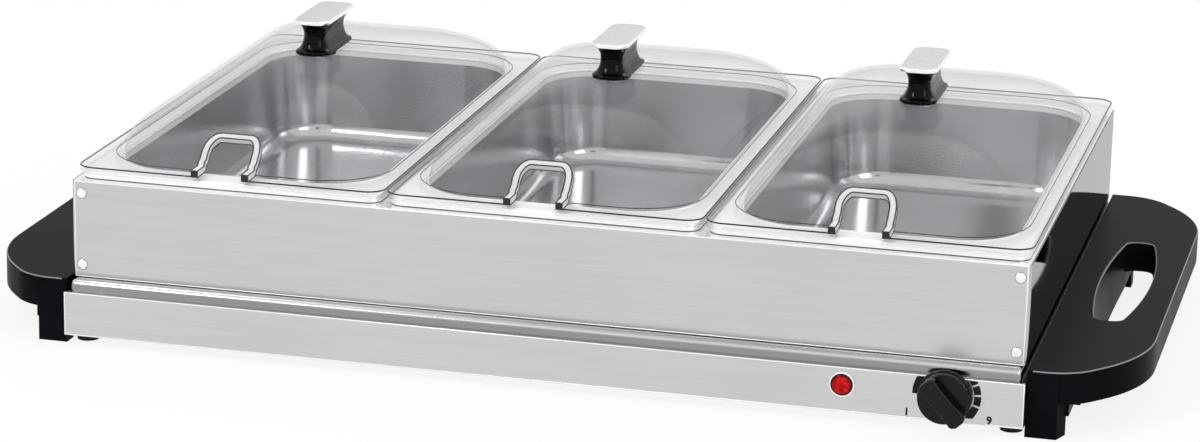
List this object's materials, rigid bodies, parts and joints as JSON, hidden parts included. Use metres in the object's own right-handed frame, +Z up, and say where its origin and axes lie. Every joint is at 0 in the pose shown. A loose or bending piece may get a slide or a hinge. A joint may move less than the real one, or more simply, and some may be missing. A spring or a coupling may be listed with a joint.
{
  "type": "triple buffet server",
  "caption": "Low electric food warmer: a heated tray with carrying handles and a turn control, a lift-off frame, and deep steel pans under clear domed lids with spoon slots.",
  "frame": {"origin": "on the table, at the middle of the whole object's footprint", "axes": "+X to the right as seen from the control side, along the row of pans; +Y to the back; +Z up"},
  "size_m": [0.628, 0.3842, 0.15],
  "materials": {
    "brushed_steel": "fine straight brushing, satin",
    "tray_steel": "fine straight brushing, brighter folded rim",
    "pan_steel": "deep drawn, soft satin inside, bright rim",
    "clear_lid": "clear moulded plastic, glossy",
    "black_plastic": "fine satin mould texture",
    "knob_black": "gloss black",
    "knob_cap_steel": "satin top with a bright rounded rim",
    "rubber": "matte",
    "dial_ink": "printed ink",
    "lamp_red": "translucent red",
    "lamp_bezel": "pale gloss",
    "plated_steel": "zinc plated",
    "galvanised": "plain mill finish",
    "insulation": "pale mineral fibre blanket",
    "ceramic": "unglazed ceramic",
    "phenolic": "dark brown moulding",
    "heater_foil": "aluminium faced",
    "brass": "machined",
    "wire_sleeve": "braided glass sleeve, pale",
    "wire_brown": "heat-proof insulation, brown"
  },
  "bodies": {
    "base": {"chassis_shell": "brushed_steel", "tray_plate": "tray_steel", "bottom_cover": "galvanised", "rubber_feet": "rubber", "foot_screws": "plated_steel", "cover_screws": "plated_steel", "handle_left": "black_plastic", "handle_right": "black_plastic", "handle_screws": "plated_steel", "dial_markings": "dial_ink", "thermostat": "phenolic", "thermostat_nut": "brass", "lamp_lens": "lamp_red", "lamp_bezel": "lamp_bezel", "lamp_holder": "phenolic", "insulation_blanket": "insulation", "heat_shield": "galvanised", "heater_left": "heater_foil", "heater_middle": "heater_foil", "heater_right": "heater_foil", "heater_studs": "plated_steel", "heater_nuts": "plated_steel", "thermal_cutout": "ceramic", "cord_gland": "black_plastic", "gland_nut": "black_plastic", "terminal_block": "ceramic", "thermostat_wire": "wire_brown", "cutout_wire": "wire_sleeve", "heater_wire": "wire_sleeve"},
    "frame": {"frame_front_panel": "brushed_steel", "frame_back_panel": "brushed_steel", "frame_left_panel": "brushed_steel", "frame_right_panel": "brushed_steel", "frame_deck": "brushed_steel", "frame_rivets": "plated_steel"},
    "left_pan": {"pan_left": "pan_steel"},
    "left_lid": {"lid_left": "clear_lid", "lid_knob_left": "knob_black", "lid_knob_cap_left": "knob_cap_steel", "lid_washer_left": "rubber", "lid_screw_left": "plated_steel"},
    "middle_pan": {"pan_middle": "pan_steel"},
    "middle_lid": {"lid_middle": "clear_lid", "lid_knob_middle": "knob_black", "lid_knob_cap_middle": "knob_cap_steel", "lid_washer_middle": "rubber", "lid_screw_middle": "plated_steel"},
    "right_pan": {"pan_right": "pan_steel"},
    "right_lid": {"lid_right": "clear_lid", "lid_knob_right": "knob_black", "lid_knob_cap_right": "knob_cap_steel", "lid_washer_right": "rubber", "lid_screw_right": "plated_steel"},
    "control": {"control_knob": "black_plastic", "thermostat_shaft": "plated_steel"}
  },
  "joints": [
    {"name": "frame_lift", "type": "slide", "parent": "base", "child": "frame", "axis": [0, 0, 1], "range_m": [0, 0.06]},
    {"name": "left_pan_lift", "type": "slide", "parent": "frame", "child": "left_pan", "axis": [0, 0, 1], "range_m": [0, 0.08]},
    {"name": "left_lid_lift", "type": "slide", "parent": "left_pan", "child": "left_lid", "axis": [0, 0, 1], "range_m": [0, 0.06]},
    {"name": "middle_pan_lift", "type": "slide", "parent": "frame", "child": "middle_pan", "axis": [0, 0, 1], "range_m": [0, 0.08]},
    {"name": "middle_lid_lift", "type": "slide", "parent": "middle_pan", "child": "middle_lid", "axis": [0, 0, 1], "range_m": [0, 0.06]},
    {"name": "right_pan_lift", "type": "slide", "parent": "frame", "child": "right_pan", "axis": [0, 0, 1], "range_m": [0, 0.08]},
    {"name": "right_lid_lift", "type": "slide", "parent": "right_pan", "child": "right_lid", "axis": [0, 0, 1], "range_m": [0, 0.06]},
    {"name": "control_turn", "type": "hinge", "parent": "base", "child": "control", "pos_m": [0.217, -0.1769, 0.0197], "axis": [0, -1, 0], "range_deg": [0, 285]}
  ]
}
